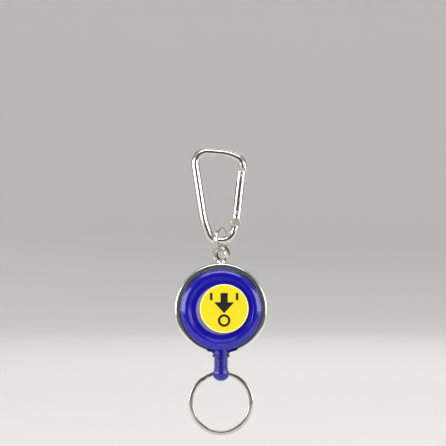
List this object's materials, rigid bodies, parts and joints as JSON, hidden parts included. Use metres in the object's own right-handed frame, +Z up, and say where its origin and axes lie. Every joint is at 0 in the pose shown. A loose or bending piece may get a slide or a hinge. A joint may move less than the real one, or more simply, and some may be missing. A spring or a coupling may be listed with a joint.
{
  "type": "retractable badge reel",
  "caption": "Retractable key and badge reel: round translucent case with a spring-driven cord, hung from a gated carabiner by a swivel eye, with a pull grip and a split key ring.",
  "frame": {"origin": "inside of the carabiner's top bow, the point that the reel hangs from", "axes": "+Z up, from the key ring to the carabiner; the front with the label looks along -Y; +X is right seen from the front"},
  "size_m": [0.032, 0.011, 0.1001],
  "materials": {
    "polished_nickel": "polished",
    "chrome_band": "bright",
    "spring_steel": "drawn",
    "blue_plastic": "translucent gloss",
    "white_plastic": "moulded",
    "label_paper": "printed vinyl",
    "nylon_cord": "braided"
  },
  "bodies": {
    "carabiner": {"carabiner_body": "polished_nickel", "gate_hinge_pin": "polished_nickel"},
    "gate": {"carabiner_gate": "polished_nickel", "gate_latch_pin": "polished_nickel", "gate_spring": "spring_steel", "gate_plunger": "spring_steel"},
    "link": {"link_ring": "polished_nickel"},
    "eye": {"swivel_eye": "polished_nickel"},
    "case": {"front_shell": "blue_plastic", "back_shell": "blue_plastic", "trim_band": "chrome_band", "label_disc": "label_paper", "swivel_washer": "spring_steel", "cord_lead": "nylon_cord"},
    "spool": {"spool": "white_plastic", "spring_cover": "white_plastic", "mainspring": "spring_steel", "cord_winding": "nylon_cord"},
    "pull": {"pull_grip": "blue_plastic", "cord_knot": "nylon_cord"},
    "ring": {"key_ring": "polished_nickel"}
  },
  "joints": [
    {"name": "gate_hinge", "type": "hinge", "parent": "carabiner", "child": "gate", "pos_m": [0.00557, 0, -0.01956], "axis": [0, -1, 0], "range_deg": [0, 40], "stiffness_Nm_per_rad": 0.01, "springref_deg": -17.19},
    {"name": "link_swing", "type": "hinge", "parent": "carabiner", "child": "link", "pos_m": [0, 0, -0.0293], "axis": [1, 0, 0], "range_deg": [-90, 90]},
    {"name": "eye_swing", "type": "hinge", "parent": "link", "child": "eye", "pos_m": [0, 0, -0.0338], "axis": [0.4802, 0.8771, 0], "range_deg": [-45, 45]},
    {"name": "case_swivel", "type": "hinge", "parent": "eye", "child": "case", "pos_m": [0, 0, -0.0381], "axis": [0, 0, 1], "continuous": true},
    {"name": "cord_pull", "type": "slide", "parent": "case", "child": "pull", "axis": [0, 0, -1], "range_m": [0, 0.65], "stiffness_N_per_m": 2, "springref_m": -0.3},
    {"name": "spool_spin", "type": "hinge", "parent": "case", "child": "spool", "pos_m": [0, 0, -0.0532], "axis": [0, 1, 0], "continuous": true, "deforming": ["mainspring"]},
    {"name": "key_ring_swing", "type": "hinge", "parent": "pull", "child": "ring", "pos_m": [0, 0, -0.0754], "axis": [1, 0, 0], "range_deg": [-90, 90]}
  ],
  "couplings": [
    {"joint": "spool_spin", "follows": "cord_pull", "rad_per_m": 108.7}
  ]
}
